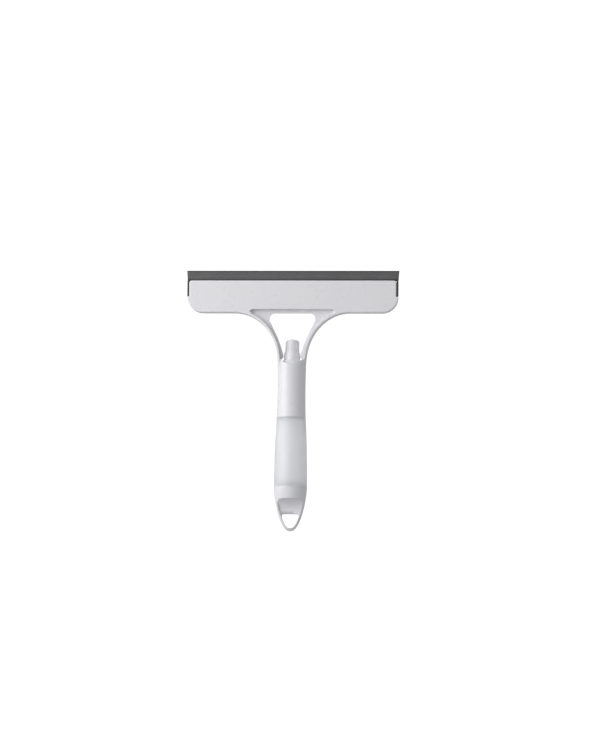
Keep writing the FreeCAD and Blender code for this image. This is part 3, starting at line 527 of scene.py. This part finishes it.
frosted, tree, shader, where = shader_of("frosted polypropylene")
mist = noise_of(tree, where, 20.0, 3.0, (1.0, 1.0, 0.4))
toned(tree, shader, ranged(tree, mist, 0.0, 1.0), FROST_FIRST, FROST_SECOND)
tree.links.new(ranged(tree, noise_of(tree, where, 3.0, 4.0), 0.42, 0.50), shader.inputs["Roughness"])
bumped(tree, shader, (noise_of(tree, where, 0.30, 2.0), 0.004), (noise_of(tree, where, 9.0, 1.0), 0.02))
shader.inputs["Transmission Weight"].default_value = FROST_CLEARNESS
shader.inputs["IOR"].default_value = PLASTIC_IOR
shader.inputs["Subsurface Weight"].default_value = FROST_GLOW_SHARE
shader.inputs["Subsurface Radius"].default_value = (1.0, 1.0, 1.0)
shader.inputs["Subsurface Scale"].default_value = FROST_GLOW_DEPTH
bottle.data.materials.append(frosted)
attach(bottle, "bottle")
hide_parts("bottle")


# The end cap is a white moulding pressed over the bottle's foot. It runs out into a hanging loop, with a
# thumb scoop in front and behind. It is made as half its depth over the front view, and mirrored behind.
CAP_TOP, CAP_RADIUS, CUP_RADIUS, CUP_FLOOR = 50.3, 18.8, 17.0, 41.8
SCOOP_RIM, SCOOP_RADIUS, TAB_HALF, TAB_END = 2.8, 13.25, 4.5, 23.5
HOLE_RIM, HOLE_LOW, HOLE_TOP, HOLE_EDGE = 3.1, 3.6, 19.2, 0.8
LOOP_MIDDLE = 12.5
TAPER_START, NARROWING, FLATTENING = 1.5, 0.47, 0.8
HOLE_SOFTNESS, BODY_SOFTNESS, RIM_SLOPE, BROW_SLOPE = 1.4, 0.22, 7.0, 9.0
TOP_RAYS, LOOP_RAYS, RAY_STEPS, SHEET_ROWS = 61, 141, 600, 72


def cap_width(z):
    """Half width of the cap: a rounded end, R (1 - u^1.5)^0.47, where u goes from 0 at the top to 1 below."""
    u = np.clip((CAP_TOP - z) / CAP_TOP, 0, 1)
    return CAP_RADIUS * (1 - u ** TAPER_START) ** NARROWING


def cap_depth(x, z):
    """Half depth of the cap without its scoops: each level is an ellipse whose depth falls off faster."""
    u = np.clip((CAP_TOP - z) / CAP_TOP, 0, 1)
    across = np.clip(np.abs(x) / np.maximum(cap_width(z), 1e-6), 0, 1)
    return CAP_RADIUS * (1 - u ** TAPER_START) ** FLATTENING * np.sqrt(1 - across ** 2)


def soft_max(values, softness):
    """The largest of the values, blended where two of them are close."""
    top = np.max(values, axis=0)
    return top + softness * np.log(np.sum([np.exp((value - top) / softness) for value in values], axis=0))


def out_of_hole(x, z):
    """How far a place lies outside the hanging hole, which follows the cap's outline and has a flat top: the
    largest of the distances past its sides, its top and its foot, blended at the corners."""
    slope = (cap_width(z + 0.1) - cap_width(z - 0.1)) / 0.2
    beside = (np.abs(x) - cap_width(z) + HOLE_RIM) / np.sqrt(1 + slope ** 2)
    return soft_max([beside, z - HOLE_TOP, HOLE_LOW - z], HOLE_SOFTNESS)


def reach_of(inside, angle, far):
    """How far from the loop's middle a ray at this angle stays inside a region, found by halving."""
    near, far = np.zeros_like(angle), np.full_like(angle, far)
    for _ in range(40):
        half = (near + far) / 2
        held = inside(half * np.cos(angle), LOOP_MIDDLE + half * np.sin(angle))
        near, far = np.where(held, half, near), np.where(held, far, half)
    return near


def half_depth(x, z, edge):
    """Half the cap's depth: the full body, cut down by the scoop, which is a tab below and a round bay above,
    with a steep wall along the rim, and rounded over towards the hole by the edge radius."""
    bay = np.sqrt(np.clip(SCOOP_RADIUS ** 2 - np.clip(z - TAB_END, 0, SCOOP_RADIUS) ** 2, 0, None))
    steep = RIM_SLOPE * np.clip(np.abs(x) - cap_width(z) + SCOOP_RIM, 0, None)
    above = BROW_SLOPE * np.clip(z - TAB_END - SCOOP_RADIUS, 0, None)
    scoop = TAB_HALF + SCOOP_RADIUS - bay + steep + above
    body = -soft_max([-cap_depth(x, z), -scoop], BODY_SOFTNESS)
    near_hole = edge - np.clip(edge - out_of_hole(x, z), 0, edge)
    return np.clip(body, 0, None) - edge + np.sqrt(np.clip(edge ** 2 - (edge - near_hole) ** 2, 0, None))


# Rays go out from the loop's middle, from the hole's edge to the cap's outline. The first of them end on the
# cap's top edge, and the others go round the loop. Points are spread evenly along the surface over each ray.
corner_angle = math.atan2(CAP_TOP - LOOP_MIDDLE, CAP_RADIUS)
over_top = np.linspace(corner_angle, np.pi - corner_angle, TOP_RAYS)
round_loop = np.linspace(np.pi - corner_angle, 2 * np.pi + corner_angle, LOOP_RAYS)[1:-1]
rays = np.concatenate([over_top, round_loop])
outer = reach_of(lambda x, z: (z < CAP_TOP) & (z > 0) & (np.abs(x) < cap_width(z)), rays, 60.0)
inner = reach_of(lambda x, z: out_of_hole(x, z) < 0, rays, 30.0)
hole_corner = math.atan2(HOLE_TOP - LOOP_MIDDLE, 10.0)
beside_top = np.clip((np.abs(rays - np.pi / 2) - (np.pi / 2 - hole_corner) + 0.18) / 0.3, 0, 1)
beside_top = beside_top ** 2 * (3 - 2 * beside_top)
edges = TAB_HALF + (HOLE_EDGE - TAB_HALF) * beside_top

share = (1 - np.cos(np.linspace(0, np.pi, RAY_STEPS))) / 2
far = inner[:, None] + (outer - inner)[:, None] * share
x, z = far * np.cos(rays)[:, None], LOOP_MIDDLE + far * np.sin(rays)[:, None]
y = half_depth(x, z, edges[:, None])
y[(rays > np.pi - corner_angle - 1e-6) | (rays < corner_angle + 1e-6), -1] = 0.0
outward, down = [np.diff(part, axis=1, prepend=part[:, :1]) for part in (far, y)]
walked = np.cumsum(np.hypot(outward, down), axis=1)
spread = [np.searchsorted(row, np.linspace(0, row[-1], SHEET_ROWS)).clip(0, RAY_STEPS - 1) for row in walked]
pick = np.arange(len(rays))[:, None], np.array(spread)
sheet = np.stack([x[pick], -y[pick], z[pick]], axis=-1).transpose(1, 0, 2)
cap_sheets = np.concatenate([sheet[::-1], sheet * (1, -1, 1)])

# The cup for the bottle's foot is the cap's round top edge carried inwards and down to a flat floor.
front_rim = sheet[-1, :TOP_RAYS]
rim = np.concatenate([front_rim, (front_rim * (1, -1, 1))[::-1][1:-1]])
rim[:, 2] = CAP_TOP
cup_line = ((CAP_RADIUS, CAP_TOP), (CUP_RADIUS + 0.3, CAP_TOP), (CUP_RADIUS, CAP_TOP - 0.3),
            (CUP_RADIUS, CUP_FLOOR + 1.0), (CUP_RADIUS - 0.3, CUP_FLOOR + 0.3), (CUP_RADIUS - 1.0, CUP_FLOOR),
            (0.0, CUP_FLOOR))
cup = [rim * (radius / CAP_RADIUS, radius / CAP_RADIUS, 0) + (0, 0, level) for radius, level in cup_line]
end_cap = grid_mesh("end_cap", [placed(cap_sheets), placed(np.array(cup))], closed_rows=(0, 1))
end_cap.data.materials.append(white_plastic)
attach(end_cap, "bottle")
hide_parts("base_cap")
